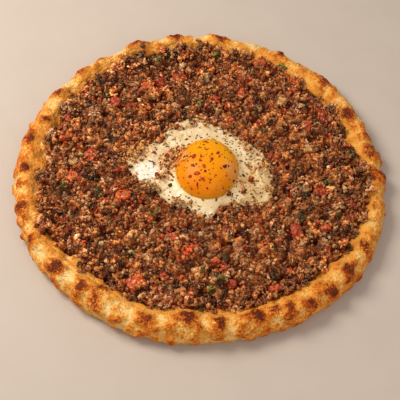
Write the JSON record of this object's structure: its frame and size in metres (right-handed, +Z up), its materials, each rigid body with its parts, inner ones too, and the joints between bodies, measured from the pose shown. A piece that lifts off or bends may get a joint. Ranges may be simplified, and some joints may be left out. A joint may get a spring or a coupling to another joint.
{
  "type": "lahmacun",
  "caption": "Round flat bread with a puffed rim, spread with cooked minced meat, diced tomato and onion, and a fried egg in the middle.",
  "frame": {"origin": "centre of the footprint, on the flat underside that rests on the table", "axes": "+Z up, +Y towards the far side of the bread as it is served, +X to its right"},
  "size_m": [0.2502, 0.2462, 0.0256],
  "materials": {
    "crust": "baked bread, golden with brown and charred spots",
    "mince": "cooked minced meat, moist",
    "egg_white": "fried egg white, smooth and moist",
    "egg_yolk": "glossy soft yolk",
    "tomato": "cooked tomato, moist",
    "onion": "cooked onion, half clear",
    "parsley": "baked parsley leaf",
    "spice": "dried pepper flakes and black pepper"
  },
  "bodies": {
    "root": {"crust": "crust", "mince": "mince", "egg_white": "egg_white", "egg_yolk": "egg_yolk", "tomato_01": "tomato", "tomato_02": "tomato", "tomato_03": "tomato", "tomato_04": "tomato", "tomato_05": "tomato", "tomato_06": "tomato", "tomato_07": "tomato", "tomato_08": "tomato", "tomato_09": "tomato", "tomato_10": "tomato", "tomato_11": "tomato", "tomato_12": "tomato", "tomato_13": "tomato", "tomato_14": "tomato", "tomato_15": "tomato", "tomato_16": "tomato", "tomato_17": "tomato", "tomato_18": "tomato", "tomato_19": "tomato", "tomato_20": "tomato", "tomato_21": "tomato", "tomato_22": "tomato", "tomato_23": "tomato", "tomato_24": "tomato", "tomato_25": "tomato", "tomato_26": "tomato", "tomato_27": "tomato", "tomato_28": "tomato", "tomato_29": "tomato", "tomato_30": "tomato", "tomato_31": "tomato", "tomato_32": "tomato", "tomato_33": "tomato", "tomato_34": "tomato", "tomato_35": "tomato", "tomato_36": "tomato", "onion_01": "onion", "onion_02": "onion", "onion_03": "onion", "onion_04": "onion", "onion_05": "onion", "onion_06": "onion", "onion_07": "onion", "onion_08": "onion", "onion_09": "onion", "onion_10": "onion", "onion_11": "onion"}
  },
  "joints": []
}
